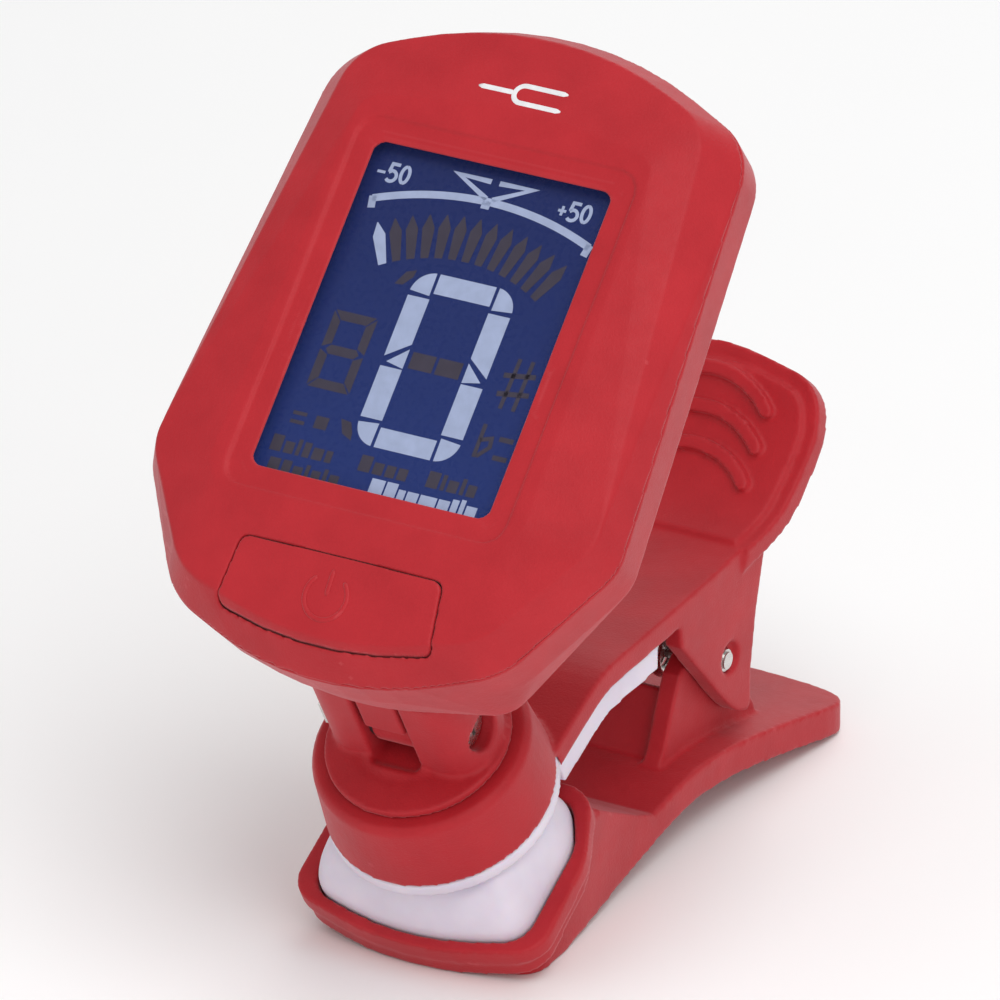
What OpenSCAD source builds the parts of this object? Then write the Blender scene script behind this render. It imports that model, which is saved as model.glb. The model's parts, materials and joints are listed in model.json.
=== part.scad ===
// Clip-on instrument tuner: a spring clip with a collar, a turret that swivels
// in the collar, and a display head that tilts on the turret.
// Origin: centre of the grip, where the swivel axis meets the plane in which
// the two pads touch. +X is the width, +Y runs to the rear of the clip, +Z is up.

/* [Stance] */
// Slope of the jaw plane when the clip stands on its lower arm, degrees
jaw_pitch = 30; // [29:0.5:31]
// Slope of the display face at rest, degrees
head_pitch = 45.3; // [44:0.5:50]
// Height of the surface the clip stands on
floor_z = -11.7; // [-11.9:0.1:-11.6]

/* [Jaws] */
// Half width of the pad tray at its front
tray_half_w = 10.8; // [10.5:0.1:11.5]
// Depth of the tray rim below the pad contact plane
rim_drop = 4.6; // [4.4:0.1:4.9]
// Thickness of the tray from its rim to its underside
tray_t = 3.1; // [3:0.1:3.4]
// Wall left around the lower pad
rim_w = 1.9; // [1.7:0.1:2.1]
// Thickness of the upper pad below the collar
upper_pad_t = 1.25; // [1.2:0.05:1.3]

/* [Arms] */
// Half width of the lower arm plate
lower_half_w = 8.4; // [8.2:0.1:9]
// Thickness of the lower arm plate
lower_t = 2.6; // [2.4:0.1:2.9]
// Half width of the upper arm between collar and thumb paddle
upper_half_w = 7.5; // [7.5:0.05:7.6]
// Thickness of the upper arm plate
upper_t = 2; // [1.9:0.1:2.2]
// Half width of the thumb paddle
paddle_half_w = 9.4; // [9:0.1:9.6]
// Thickness of each hinge cheek
cheek_t = 1.6; // [1.5:0.05:1.65]

/* [Hinge] */
// Hinge pin position to the rear of the origin
pin_y = 31.1; // [31:0.1:31.3]
// Hinge pin height above the origin
pin_z = 0.35; // [0.2:0.05:0.5]
// Hinge pin radius
pin_r = 0.9; // [0.8:0.05:1]
// Radial running clearance of every turning joint
running = 0.05; // [0.03:0.01:0.08]

/* [Collar and turret] */
// Collar radius at its lower edge
collar_r = 9.1; // [9:0.1:9.3]
// Collar radius at its upper edge
collar_top_r = 8.45; // [8.3:0.05:8.6]
// Height of the collar top above the contact plane
collar_top = 7.54; // [7.4:0.02:7.6]
// Radius of the turret foot
turret_r = 7.28; // [7.1:0.02:7.4]
// Height of the tilt axis above the contact plane
tilt_h = 11.29; // [11.2:0.01:11.5]
// Half width of the turret ears
ear_half_w = 6.8; // [6.6:0.1:6.9]
// Half width of the slot between the ears
slot_half_w = 2.1; // [2:0.05:2.2]

/* [Head] */
// Width of the display window
window_w = 20.2; // [19.8:0.1:20.6]
// Height of the display window
window_h = 26.8; // [26.2:0.1:27.2]
// Distance from the tilt axis to the window centre, along the face
window_a = 24; // [23.8:0.1:24.2]
// Distance from the tilt axis to the face plane
face_b = 18.7; // [18.6:0.05:18.8]
// Distance from the tilt axis to the back of the head
back_b = 7.2; // [7.1:0.05:7.3]
// Depth of the seam between the shells behind the face plane
seam_depth = 3.84; // [3.7:0.02:4]
// Shell wall thickness
wall = 1.2; // [1.1:0.05:1.3]
// Gap around the power button and the battery door
panel_gap = 0.12; // [0.1:0.01:0.18]

/* [Hidden] */

$fn = 64;
eps = 0.01;
shell_red = [0.74, 0.13, 0.15];
pad_white = [0.86, 0.84, 0.89];
steel = [0.78, 0.78, 0.8];

seam_b = face_b - seam_depth;
crease_b = face_b - 1;
band_b = seam_b - 3.8;
mid_a = window_a;

// ---- outline helpers ----

// Arc of points about c, from angle a0 to a1
function arc(c, r, a0, a1, n) =
    [for (i = [0:n]) c + r * [cos(a0 + (a1 - a0) * i / n), sin(a0 + (a1 - a0) * i / n)]];

// Corner b of the outline a-b-c, replaced by a tangent arc of radius r
function corner(a, b, c, r, n) =
    let (u = (a - b) / norm(a - b),
         w = (c - b) / norm(c - b),
         half = acos(u * w) / 2,
         m = b + (u + w) / norm(u + w) * r / sin(half),
         s = b + u * r / tan(half) - m,
         e = b + w * r / tan(half) - m,
         t0 = atan2(s[1], s[0]),
         dt = atan2(s[0] * e[1] - s[1] * e[0], s * e))
    r <= 0 ? [b] : [for (i = [0:n]) m + r * [cos(t0 + dt * i / n), sin(t0 + dt * i / n)]];

// Closed outline through rows of [x, y, corner radius]
function rounded(rows, n = 6) =
    let (k = len(rows), p = [for (q = rows) [q[0], q[1]]])
    [for (i = [0:k - 1]) each corner(p[(i + k - 1) % k], p[i], p[(i + 1) % k], rows[i][2], n)];

// Left-right symmetric outline from the rows of its right half, top to bottom
function mirrored(rows) =
    let (k = len(rows))
    concat(rows, [for (i = [k - 1:-1:0]) if (rows[i][0] > eps) [-rows[i][0], rows[i][1], rows[i][2]]]);

// Smooth curve through points (Catmull-Rom)
function spline(p, n = 5) =
    let (k = len(p))
    concat([for (i = [0:k - 2]) let (p0 = p[max(i - 1, 0)], p1 = p[i], p2 = p[i + 1], p3 = p[min(i + 2, k - 1)])
        for (j = [0:n - 1]) let (t = j / n)
        0.5 * (2 * p1 + t * (p2 - p0) + t * t * (2 * p0 - 5 * p1 + 4 * p2 - p3)
        + t * t * t * (3 * p1 - p0 - 3 * p2 + p3))], [p[k - 1]]);

// The curve moved d to its right-hand side
function shifted(c, d) =
    let (k = len(c))
    [for (i = [0:k - 1]) let (t = c[min(i + 1, k - 1)] - c[max(i - 1, 0)]) c[i] + d * [t[1], -t[0]] / norm(t)];

function reversed(c) = [for (i = [len(c) - 1:-1:0]) c[i]];

// ---- frames and basic solids ----

module jaw_frame() rotate([jaw_pitch, 0, 0]) children();

module tilt_frame() jaw_frame() translate([0, 0, tilt_h]) children();

// x across, y up the face, z out of the face, origin on the tilt axis
module head_frame() tilt_frame() rotate([head_pitch - jaw_pitch, 0, 0]) children();

// Side profile in the Y-Z plane, spread over x0..x1
module profile(x0, x1, points)
    translate([x0, 0, 0]) rotate([90, 0, 90]) linear_extrude(x1 - x0) polygon(points);

// Rod along X
module x_rod(x0, x1, r, y = 0, z = 0) translate([x0, y, z]) rotate([0, 90, 0]) cylinder(h = x1 - x0, r = r);

// Block given by its centre line and its z range
module block(w, h, z0, z1, r = 0)
    translate([0, 0, z0]) linear_extrude(z1 - z0)
    polygon(rounded([[w / 2, h / 2, r], [w / 2, -h / 2, r], [-w / 2, -h / 2, r], [-w / 2, h / 2, r]], 4));

// Thin slab of an outline, used as a hull child
module slab(points, z) translate([0, 0, z]) linear_extrude(eps) polygon(points);

// Pan head with a cross recess, top face at z = 0, looking along +Z
module cross_head(r, h) difference() {
    translate([0, 0, -h]) cylinder(h = h, r = r);
    for (turn = [0, 90]) rotate([0, 0, turn]) translate([-r * 0.62, -r * 0.11, -h * 0.5]) cube([r * 1.24, r * 0.22, h]);
}

// ---- lower clip half ----

lower_end = 48.9;

// Underside of the lower arm: flat under the tray, arched behind it, down to the floor at the handle
under_line = spline([[-6.2, floor_z - 0.1], [0.5, floor_z - 0.1], [4.5, -11.4], [10.6, -10.75], [18, -9.4],
    [24.5, -8.6], [31, -9.05], [38, -10.15], [44, -11.25], [50.5, -12.4]], 4);

// Plan of the tray, with its sides moved inwards by d
function tray_rows(d) = rounded(mirrored([[0, -11.3, 24], [tray_half_w + 0.25 - d, -8.3, 2.8],
    [tray_half_w - 0.1 - d, 0.6, 8], [8.3 - d, 6.7 - d, 3.4]]));
lip_t = 1.6;
pad_gap = 0.12;
recess_depth = 1.6;
pad_half_w = tray_half_w - rim_w + 0.3;

// Plan of the lower pad, moved inwards by d
function pad_rows(d) = rounded(mirrored([[0, -10 + d, 22], [pad_half_w - d, -7.7 + d, 2.4 - d / 2],
    [pad_half_w - d, 1.4 - d, 5], [7.1 - d, 5.1 - d, 2.2 - d / 2]]), 5);

// Plan view of the lower arm: rounded heel, narrower in the middle, rounded at the handle end
heel = rounded([[-9.3, 2, 0], [-9.5, -2.6, 2.4], [0, -5.4, 22], [9.5, -2.6, 2.4], [9.3, 2, 0]], 5);
module lower_plan() translate([0, 0, floor_z]) linear_extrude(40)
    polygon(heel_to_handle([[9.1, 5], [lower_half_w + 0.1, 12], [lower_half_w, 20], [lower_half_w + 0.1, 30],
        [lower_half_w + 1.1, 43.5]]));

// Symmetric plan from its right edge, closed by the heel and by a shallow arc at the handle end
function heel_to_handle(edge) =
    let (curve = spline(edge, 4),
         last = edge[len(edge) - 1],
         tip = rounded([[last[0], last[1], 0], [last[0] + 0.1, lower_end - 1.4, 3.2], [0, lower_end + 0.7, 24],
             [-last[0] - 0.1, lower_end - 1.4, 3.2], [-last[0], last[1], 0]], 5))
    concat(heel, curve, tip, [for (q = reversed(curve)) [-q[0], q[1]]]);

// Bottom line of the arm, and the surface it shows behind the tray
plate_start = 17.5;
lower_section = concat(under_line,
    [for (q = reversed(shifted(under_line, -lower_t))) if (q[0] > plate_start) q],
    spline([[15.2, -5.9], [11.4, -4], [8.4, -2.4]], 4),
    [[-3, -8], [-6.2, -10]]);

cheek_out = upper_half_w - cheek_t - 0.2;
lower_cheek = concat([[21.4, -8.3], [22.3, -7], [23.9, -5], [25.4, -1.4], [26.4, 0.6]],
    arc([pin_y, pin_z], 2.9, 130, 0, 12), [[38.7, -7], [38.7, -8.5]]);
// Inclined wall that joins the two cheeks in front of the spring
cross_wall = [[23.6, -7.4], [25, -7.4], [27.7, -1.4], [26.7, -1]];

module lower_arm() color(shell_red) difference() {
    union() {
        jaw_frame() translate([0, 0, -rim_drop - tray_t]) linear_extrude(tray_t) polygon(tray_rows(0.5));
        jaw_frame() translate([0, 0, -rim_drop - lip_t]) linear_extrude(lip_t) polygon(tray_rows(0));
        intersection() {
            profile(-12, 12, lower_section);
            lower_plan();
        }
        for (side = [-1, 1])
            profile(side > 0 ? cheek_out - cheek_t : -cheek_out, side > 0 ? cheek_out : -cheek_out + cheek_t, lower_cheek);
        profile(-cheek_out, cheek_out, cross_wall);
    }
    jaw_frame() translate([0, 0, -rim_drop - recess_depth]) linear_extrude(6) polygon(pad_rows(-pad_gap));
    x_rod(-9, 9, pin_r + running, pin_y, pin_z);
    translate([-20, -30, floor_z - 10]) cube([40, 100, 10]);
    // Hollow under the plate, between the side walls
    intersection() {
        profile(-5.8, 5.8, concat([for (q = shifted(under_line, -1.2)) if (q[0] > 4 && q[0] < 40) q],
            [[40, -20], [4, -20]]));
        translate([-5.8, 4, -20]) cube([11.6, 36, 20]);
    }
}

// Cushion: straight in its tray, then drawn in towards the contact plane
module lower_pad() color(pad_white) jaw_frame() hull() {
    slab(pad_rows(0), -rim_drop - recess_depth + 0.02);
    slab(pad_rows(0), -rim_drop + 0.5);
    slab(pad_rows(0.5), -rim_drop + 2);
    slab(pad_rows(1.3), -1);
    slab(pad_rows(2.4), -0.05);
}

module hinge_pin() color(steel) {
    x_rod(-upper_half_w + 0.3, upper_half_w - 0.3, pin_r, pin_y, pin_z);
    x_rod(-upper_half_w + 0.1, upper_half_w - 0.1, pin_r - 0.2, pin_y, pin_z);
}

// ---- torsion spring: one swept wire, leg, coil, leg ----

wire_r = 0.42;
coil_r = 2.1;
coil_turns = 4.55;
coil_pitch = 1;
coil_steps = 20;

// Point on the coil at a number of turns; the wire leaves both ends towards the handles
function coil_point(t) =
    let (angle = -52 - 360 * t)
    [(t - coil_turns / 2) * coil_pitch, pin_y + coil_r * cos(angle), pin_z + coil_r * sin(angle)];
function coil_tangent(t) = let (d = coil_point(t + 0.01) - coil_point(t - 0.01)) d / norm(d);

lower_leg = 7.2;
upper_leg = 5;
spring_path = concat(
    [coil_point(0) - lower_leg * coil_tangent(0), coil_point(0) - coil_tangent(0)],
    [for (i = [0:coil_turns * coil_steps]) coil_point(i / coil_steps)],
    [coil_point(coil_turns) + coil_tangent(coil_turns),
     coil_point(coil_turns) + upper_leg * coil_tangent(coil_turns)]);

// Ring of wire surface points about path point i
function wire_ring(path, i, r, sides) =
    let (k = len(path),
         d = path[min(i + 1, k - 1)] - path[max(i - 1, 0)],
         t = d / norm(d),
         u = cross([1, 0, 0], t) / norm(cross([1, 0, 0], t)),
         w = cross(t, u))
    [for (j = [0:sides - 1]) path[i] + r * (cos(360 * j / sides) * u + sin(360 * j / sides) * w)];

module swept(path, r, sides) {
    k = len(path);
    points = [for (i = [0:k - 1]) each wire_ring(path, i, r, sides)];
    faces = concat([[for (j = [0:sides - 1]) j]],
        [for (i = [0:k - 2]) for (j = [0:sides - 1])
            [i * sides + j, (i + 1) * sides + j, (i + 1) * sides + (j + 1) % sides, i * sides + (j + 1) % sides]],
        [[for (j = [sides - 1:-1:0]) (k - 1) * sides + j]]);
    polyhedron(points, faces);
}

module torsion_spring() color(steel) swept(spring_path, wire_r, 10);

// ---- upper clip half ----

// Top line of the upper arm, from the collar to the tip of the thumb paddle
upper_line = spline([[2, 3.4], [7.5, 6.1], [11.6, 7.7], [16.6, 8.1], [24, 8.5], [31, 9], [34.3, 9.7], [36.8, 11],
    [39.2, 13.2], [41.6, 16.4], [43.2, 20], [43.7, 22]], 4);
paddle_start = 33;

upper_cheek = concat([[23.2, 6.6]], spline([[23.5, 4.6], [27, 0.9], [30.5, -2.8], [32.6, -4.6], [34.3, -5.2]], 3),
    [[34.7, -4.6], [34.7, -2], [35.5, 2.9], [37.3, 9.6]]);

// Plan of the thumb paddle, square to the paddle: x across, y up its length
paddle_pitch = 52;
paddle_at = [0, 39, 13];
plateau_rise = 0.4;

// Plan of the paddle, moved inwards by d
function paddle_plan(d) = rounded(mirrored([[0, 9.5 - d, 16], [paddle_half_w - 0.7 - d, 7.7 - d, 3.4 - d],
    [paddle_half_w - d, 3.6, 3 - d], [paddle_half_w - 0.5 - d, -3, 10], [upper_half_w - d, -9, 4], [upper_half_w - d, -12, 0]]));

module paddle_frame() translate(paddle_at) rotate([paddle_pitch, 0, 0]) children();

rib_r = 6.6;
rib_w = 1.1;
rib_span = 50;
rib_pitch = 3;
rib_top = 6.9;
rib_height = 1;

// One thumb rib: an arc with round ends, seen square to the paddle
function rib_outline() = concat(
    arc([0, 0], rib_r + rib_w / 2, 90 - rib_span, 90 + rib_span, 16),
    arc(rib_r * [-sin(rib_span), cos(rib_span)], rib_w / 2, 90 + rib_span, 270 + rib_span, 6),
    arc([0, 0], rib_r - rib_w / 2, 90 + rib_span, 90 - rib_span, 16),
    arc(rib_r * [sin(rib_span), cos(rib_span)], rib_w / 2, -90 - rib_span, 90 - rib_span, 6));

module upper_band(rise)
    profile(-12, 12, concat(shifted(upper_line, -rise), reversed(shifted(upper_line, upper_t))));

module upper_arm() color(shell_red) difference() {
    union() {
        // Narrow run from the collar to the paddle
        intersection() {
            upper_band(0);
            translate([-upper_half_w, 0, -10]) cube([upper_half_w * 2, paddle_start + 4.5, 30]);
        }
        // Thumb paddle with its raised middle
        intersection() {
            upper_band(0);
            paddle_frame() translate([0, 0, -20]) linear_extrude(40) polygon(paddle_plan(0));
            translate([-15, paddle_start, 0]) cube([30, 20, 30]);
        }
        intersection() {
            upper_band(plateau_rise);
            paddle_frame() translate([0, 0, -20]) linear_extrude(40) polygon(paddle_plan(1.2));
            translate([-15, paddle_start, 0]) cube([30, 20, 30]);
        }
        // Raised thumb ribs
        intersection() {
            upper_band(rib_height);
            for (i = [0:2])
                paddle_frame() translate([0, rib_top - rib_r - rib_pitch * i, -20]) linear_extrude(40) polygon(rib_outline());
        }
        for (side = [0, 1]) mirror([side, 0, 0]) profile(upper_half_w - cheek_t, upper_half_w, upper_cheek);
        // Collar
        jaw_frame() rotate_extrude() polygon([[0, upper_pad_t], [collar_r, upper_pad_t],
            [collar_top_r + 0.12, collar_top - 0.5], [collar_top_r - 0.3, collar_top], [0, collar_top]]);
    }
    // Seat of the pad under the collar
    jaw_frame() translate([0, 0, upper_pad_t - 8]) cylinder(h = 8, r = collar_r + 0.06);
    // Bore that the turret turns in, and the space for its screw and washer
    jaw_frame() translate([0, 0, upper_pad_t - 1]) cylinder(h = collar_ceiling - upper_pad_t + 1, r = cavity_r);
    jaw_frame() cylinder(h = 20, r = stub_r + running);
    x_rod(-9, 9, pin_r + running, pin_y, pin_z);
    for (side = [0, 1]) mirror([side, 0, 0]) x_rod(upper_half_w - 0.55, 9, pin_r + 0.4, pin_y + 0.2, pin_z + 0.2);
}

stub_r = 4;
cavity_r = 6.8;
collar_ceiling = 5.2;

// Underside of the upper arm behind the collar, where the pad strip lies
strip_line = shifted(upper_line, upper_t + 0.03);
strip_start = 5.4;
strip_end = 22.2;
strip_t = 2.2;

module upper_pad() color(pad_white) difference() {
    union() {
        jaw_frame() translate([0, 0, 0.03]) cylinder(h = upper_pad_t - 0.05, r = collar_r);
        intersection() {
            profile(-upper_half_w + 0.3, upper_half_w - 0.3,
                concat([for (q = strip_line) if (q[0] > 3 && q[0] < strip_end) q],
                reversed([for (q = shifted(upper_line, upper_t + strip_t)) if (q[0] > 3 && q[0] < strip_end) q])));
            jaw_frame() translate([-20, strip_start, -10]) cube([40, 60, 30]);
        }
    }
    jaw_frame() translate([0, 0, upper_pad_t]) cylinder(h = 20, r = collar_r + 0.06);
}

// ---- turret ----

foot_bottom = collar_top + 0.05;
foot_t = 0.75;
slot_r = 2.95;
cove_at = 5.2;
cove_r = 2;
ear_front = 3.1;
ear_back = 4.7;
ear_reach = 6.3;
screw_sink = 1.2;

// Ear block seen from above, with rounded upright edges
ear_plan = rounded([[ear_half_w, -ear_front, 2.9], [ear_half_w, ear_back, 3.8],
    [-ear_half_w, ear_back, 3.8], [-ear_half_w, -ear_front, 2.9]], 8);

module swivel_turret() color(shell_red) difference() {
    union() {
        jaw_frame() translate([0, 0, collar_ceiling - 0.05]) cylinder(h = foot_bottom - collar_ceiling + 0.1, r = stub_r);
        jaw_frame() translate([0, 0, foot_bottom]) cylinder(h = foot_t, r = turret_r);
        // Ear block, with a round top about the tilt axis
        intersection() {
            jaw_frame() translate([0, 0, foot_bottom]) linear_extrude(12) polygon(ear_plan);
            union() {
                tilt_frame() x_rod(-8, 8, ear_reach);
                jaw_frame() translate([-8, -8, foot_bottom]) cube([16, 16, tilt_h - foot_bottom]);
            }
        }
        // Sloping shoulder of the foot and the cove that runs up into the ears
        jaw_frame() translate([0, 0, foot_bottom + foot_t]) rotate_extrude()
            polygon(concat([[0, -foot_t / 2], [turret_r, -foot_t / 2], [turret_r - 0.2, 0]],
            arc([cove_at, cove_r + 0.4], cove_r, 270, 190, 6), [[0, cove_r]]));
    }
    // Slot for the head's tongue; its floor rises towards the front, under the tongue's path
    tilt_frame() profile(-slot_half_w, slot_half_w, concat(
        arc([0, 0], slot_r, 245, 340, 9), [[6, 2], [6, 9], [-9, 9], [-9, 0.5], [-5.2, -1.2], [-3.3, -2.6]]));
    tilt_frame() x_rod(-8, 8, 1.05);
    tilt_frame() x_rod(ear_half_w - screw_sink - 1.15, 9, 1.65);
    tilt_frame() translate([-ear_half_w - 1, 0, 0]) rotate([0, 90, 0]) cylinder(h = 3, r = 2.36, $fn = 6);
    jaw_frame() translate([0, 0, collar_ceiling - 1]) cylinder(h = 3.2, r = 0.85);
}

module swivel_washer() color(steel) jaw_frame() difference() {
    translate([0, 0, collar_ceiling - 0.75]) cylinder(h = 0.7, r = 6);
    cylinder(h = 20, r = 1.1);
}

module swivel_screw() color(steel) jaw_frame() {
    translate([0, 0, collar_ceiling - 0.75]) rotate([180, 0, 0]) translate([0, 0, 1.2]) cross_head(1.9, 1.2);
    translate([0, 0, collar_ceiling - 0.75]) cylinder(h = 2.7, r = 0.8);
}

module tilt_screw() color(steel) tilt_frame() {
    translate([ear_half_w - screw_sink, 0, 0]) rotate([0, 90, 0]) cross_head(1.5, 1.15);
    x_rod(-ear_half_w + 0.5, ear_half_w - screw_sink - 1.15, 1);
}

module tilt_nut() color(steel) tilt_frame() difference() {
    translate([-ear_half_w + 0.4, 0, 0]) rotate([0, 90, 0]) cylinder(h = 1.55, r = 2.3, $fn = 6);
    x_rod(-8, 0, 1.02);
}

module friction_washers() color(steel) tilt_frame()
    for (side = [0, 1]) mirror([side, 0, 0]) difference() {
        x_rod(tongue_half_w + 0.03, slot_half_w - 0.03, 2.3);
        x_rod(-8, 8, 1.05);
    }

// ---- head shells ----

tongue_half_w = 1.75;
tongue_r = 2.5;

// Outlines of the head about the window centre, right half from top to bottom
seam_rows = [[0, 28.4, 29], [17.8, 20.4, 5], [20.1, -14, 4.2], [14.2, -23.8, 7], [0, -29.5, 26]];
crease_rows = [[0, 26.7, 29], [15.1, 20.4, 4.6], [19, -13.2, 4.2], [12.9, -22.4, 6], [0, -26, 26]];
crown_rows = [[0, 18.4, 30], [12.6, 16.6, 2], [13.4, -15, 3], [0, -19.6, 30]];

back_rows = [[0, 24.8, 29], [14.9, 17.9, 3.4], [16.9, -12.6, 3.4], [12.3, -24.4, 3], [0, -26.7, 26]];

// Rows moved inwards by d all round
function inset(rows, d) = [for (q = rows) [q[0] * (1 - d / 19.5), (q[1] + 1) * (1 - d / 26) - 1, max(q[2] - d, 1)]];

function head_plan(rows, d) = rounded(mirrored(inset(rows, d)), 9);

module front_body(d) hull() {
    slab(head_plan(seam_rows, d), seam_b - (d > 0 ? 1 : 0));
    slab(head_plan(crease_rows, d), crease_b - d * 0.9);
    slab(head_plan(crown_rows, 0), face_b - d - eps);
}

module back_body(d) hull() {
    slab(head_plan(seam_rows, d), seam_b - eps + (d > 0 ? 1 : 0));
    slab(head_plan(seam_rows, d + 0.35), band_b);
    slab(head_plan(back_rows, d), back_b + d);
}

// Window-centred copy of the head frame
module face_frame() head_frame() translate([0, mid_a, 0]) children();

boss_rows = [[13.5, 15.6], [-13.5, 15.6], [14.4, -16], [-14.4, -16]];

// Power button outline: straight top, flaring sides, curved bottom edge
function button_plan(grow) = rounded(mirrored([[8.5 + grow, -18.9 + grow, 0.8], [9.1 + grow, -24 - grow, 0.7],
    [0, -26.6 - grow, 30]]), 5);

boss_r = 1.75;

door_w = 22;
door_bottom = -9;
door_t = wall;
lip_w = 0.8;

border_w = 1.9;
border_drop = 0.22;
lens_t = 0.9;
lens_b = face_b - 0.45;

module front_shell() color(shell_red) face_frame() {
    difference() {
        front_body(0);
        difference() {
            front_body(wall);
            for (q = boss_rows) translate([q[0], q[1], 0]) cylinder(h = 40, r = boss_r);
        }
        block(window_w, window_h, 0, 40, 0.8);
        block(window_w + 2 * border_w, window_h + 2 * border_w, face_b - border_drop, 40, 1.8);
        block(window_w + 2.2, window_h + 2.2, 0, lens_b, 1.2);
        translate([0, 0, seam_b - 1]) linear_extrude(20) polygon(button_plan(panel_gap));
        for (q = boss_rows) translate([q[0], q[1], 0]) cylinder(h = crease_b - 1.6, r = 0.85);
        translate([-30, -40, seam_b - 20]) cube([60, 80, 20]);
    }
}

module power_button() color(shell_red) face_frame() {
    intersection() {
        front_body(0);
        translate([0, 0, button_base]) linear_extrude(20) polygon(button_plan(0));
    }
    translate([0, 0, button_base - 0.4]) linear_extrude(0.4) polygon(rounded([[8.2, -19.9, 1], [8.2, -23.5, 1],
        [-8.2, -23.5, 1], [-8.2, -19.9, 1]], 4));
}

button_base = seam_b + 1.3;
switch_v = -21.3;
board_front = seam_b - 0.95;
board_t = 0.8;
board_back = board_front - board_t;

module battery_opening(gap) {
    translate([-door_w / 2 - gap, door_bottom - gap, back_b - 5]) cube([door_w + 2 * gap, 60, door_t + 5 + gap / 2]);
    translate([-door_w / 2 - lip_w - gap, door_bottom - gap, back_b + door_t / 2 - gap / 3])
        cube([door_w + 2 * lip_w + 2 * gap, 60, door_t / 2 + gap / 3 + gap / 2]);
}

module back_shell() color(shell_red) face_frame() {
    difference() {
        union() {
            difference() {
                back_body(0);
                back_body(wall);
            }
            intersection() {
                back_body(0);
                union() {
                    for (q = boss_rows) translate([q[0], q[1], 0]) cylinder(h = seam_b - 0.02, r = boss_r);
                    // Ring that centres the coin cell
                    translate([0, cell_v, back_b + wall - eps]) difference() {
                        cylinder(h = 3.6, r = cell_r + 1.3);
                        translate([0, 0, -1]) cylinder(h = 6, r = cell_r + 0.35);
                        translate([8, -5.5, -1]) cube([6, 11, 8]);
                    }
                }
            }
        }
        battery_opening(panel_gap);
        for (q = boss_rows) translate([q[0], q[1], 0]) cylinder(h = 40, r = 1.05);
        for (q = boss_rows) translate([q[0], q[1], 0]) cylinder(h = screw_seat, r = 1.65);
        translate([-30, -40, seam_b]) cube([60, 80, 20]);
    }
    // Tongue that reaches back to the tilt axis
    translate([0, -mid_a, 0]) difference() {
        union() {
            x_rod(-tongue_half_w, tongue_half_w, tongue_r);
            profile(-tongue_half_w, tongue_half_w, [[-1.8, 1.7], [tongue_r, 0], [5.4, 4.6], [7, back_b + 0.5],
                [-1, back_b + 0.5], [-2.5, 2.15]]);
        }
        x_rod(-8, 8, 1.05);
    }
}

screw_seat = 9.4;

module shell_screws() color(steel) face_frame()
    for (q = boss_rows) translate([q[0], q[1], 0]) {
        translate([0, 0, screw_seat - 1.1]) rotate([180, 0, 0]) cross_head(1.5, 1.1);
        translate([0, 0, screw_seat]) cylinder(h = 6.2, r = 0.8);
    }

module display_lens() color([0.1, 0.14, 0.3, 0.5]) face_frame()
    block(window_w + 2, window_h + 2, lens_b - lens_t, lens_b - 0.02, 1.1);

lcd_w = 22.8;
lcd_h = 31;
lcd_front = lens_b - lens_t - 0.05;
lcd_t = 1.75;
glow_front = lcd_front - lcd_t - 0.05;

module lcd_panel() color([0.16, 0.22, 0.42]) face_frame() block(lcd_w, lcd_h, lcd_front - lcd_t, lcd_front, 0.2);

module backlight_panel() color([0.9, 0.93, 1]) face_frame() block(lcd_w, lcd_h - 4.4, board_front + 0.05, glow_front, 0.4);

module lcd_connector() color([0.25, 0.25, 0.28]) face_frame()
    for (side = [-1, 1]) translate([0, side * (lcd_h / 2 - 1), 0]) block(lcd_w - 1, 1.4, board_front, glow_front + 0.03, 0.2);

module circuit_board() color([0.1, 0.35, 0.2]) face_frame() translate([0, 0, board_back]) linear_extrude(board_t)
    polygon(rounded(mirrored([[11.4, 20, 1.2], [11.4, -20, 1.2], [8, -23.2, 1.2]]), 4));

module controller_chip() color([0.08, 0.08, 0.09]) face_frame() translate([-5.8, -16.6, board_back]) rotate([180, 0, 0])
    rotate_extrude() polygon(concat([[0, 0], [3.6, 0]], arc([2.8, 0.1], 0.8, 0, 90, 6), [[0, 1.05]]));

module board_components() color([0.7, 0.62, 0.45]) face_frame() {
    // Watch crystal lying on the board
    translate([4.2, -19.4, board_back - 0.85]) rotate([0, 90, 0]) cylinder(h = 5, r = 0.8);
    for (i = [0:3]) translate([3 + i * 2.1, -16, board_back - 0.65]) cube([1.1, 1.8, 0.64]);
    for (i = [0:2]) translate([-10.8, -10 + i * 2.2, board_back - 0.65]) cube([1.8, 1.1, 0.64]);
}

module tact_switch() color([0.2, 0.2, 0.22]) face_frame() translate([0, switch_v, 0]) difference() {
    block(4.8, 3.6, board_front, board_front + 1.45, 0.3);
    translate([0, 0, board_front + 0.3]) cylinder(h = 5, r = 1.05);
}

module switch_plunger() color([0.85, 0.85, 0.8]) face_frame() translate([0, switch_v, board_front + 0.85])
    cylinder(h = button_base - 0.45 - board_front - 0.85, r = 1);

cell_r = 10;
cell_t = 3.2;
cell_v = 2;
cell_back = back_b + wall + 0.45;

module coin_cell() color(steel) face_frame() translate([0, cell_v, cell_back]) {
    // Can, gasket step and negative button
    rotate_extrude() polygon([[0, 0], [cell_r - 0.4, 0], [cell_r, 0.4], [cell_r, cell_t - 0.6], [cell_r - 0.9, cell_t - 0.3],
        [cell_r - 1.2, cell_t - 0.3], [cell_r - 1.4, cell_t], [0, cell_t]]);
}

module battery_contact_positive() color(steel) face_frame() {
    translate([cell_r + 0.06, cell_v - 3, cell_back + 0.4]) cube([0.25, 6, board_back - cell_back - 0.4]);
    translate([cell_r - 1.2, cell_v - 3, board_back - 0.25]) cube([1.5, 6, 0.25]);
}

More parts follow.
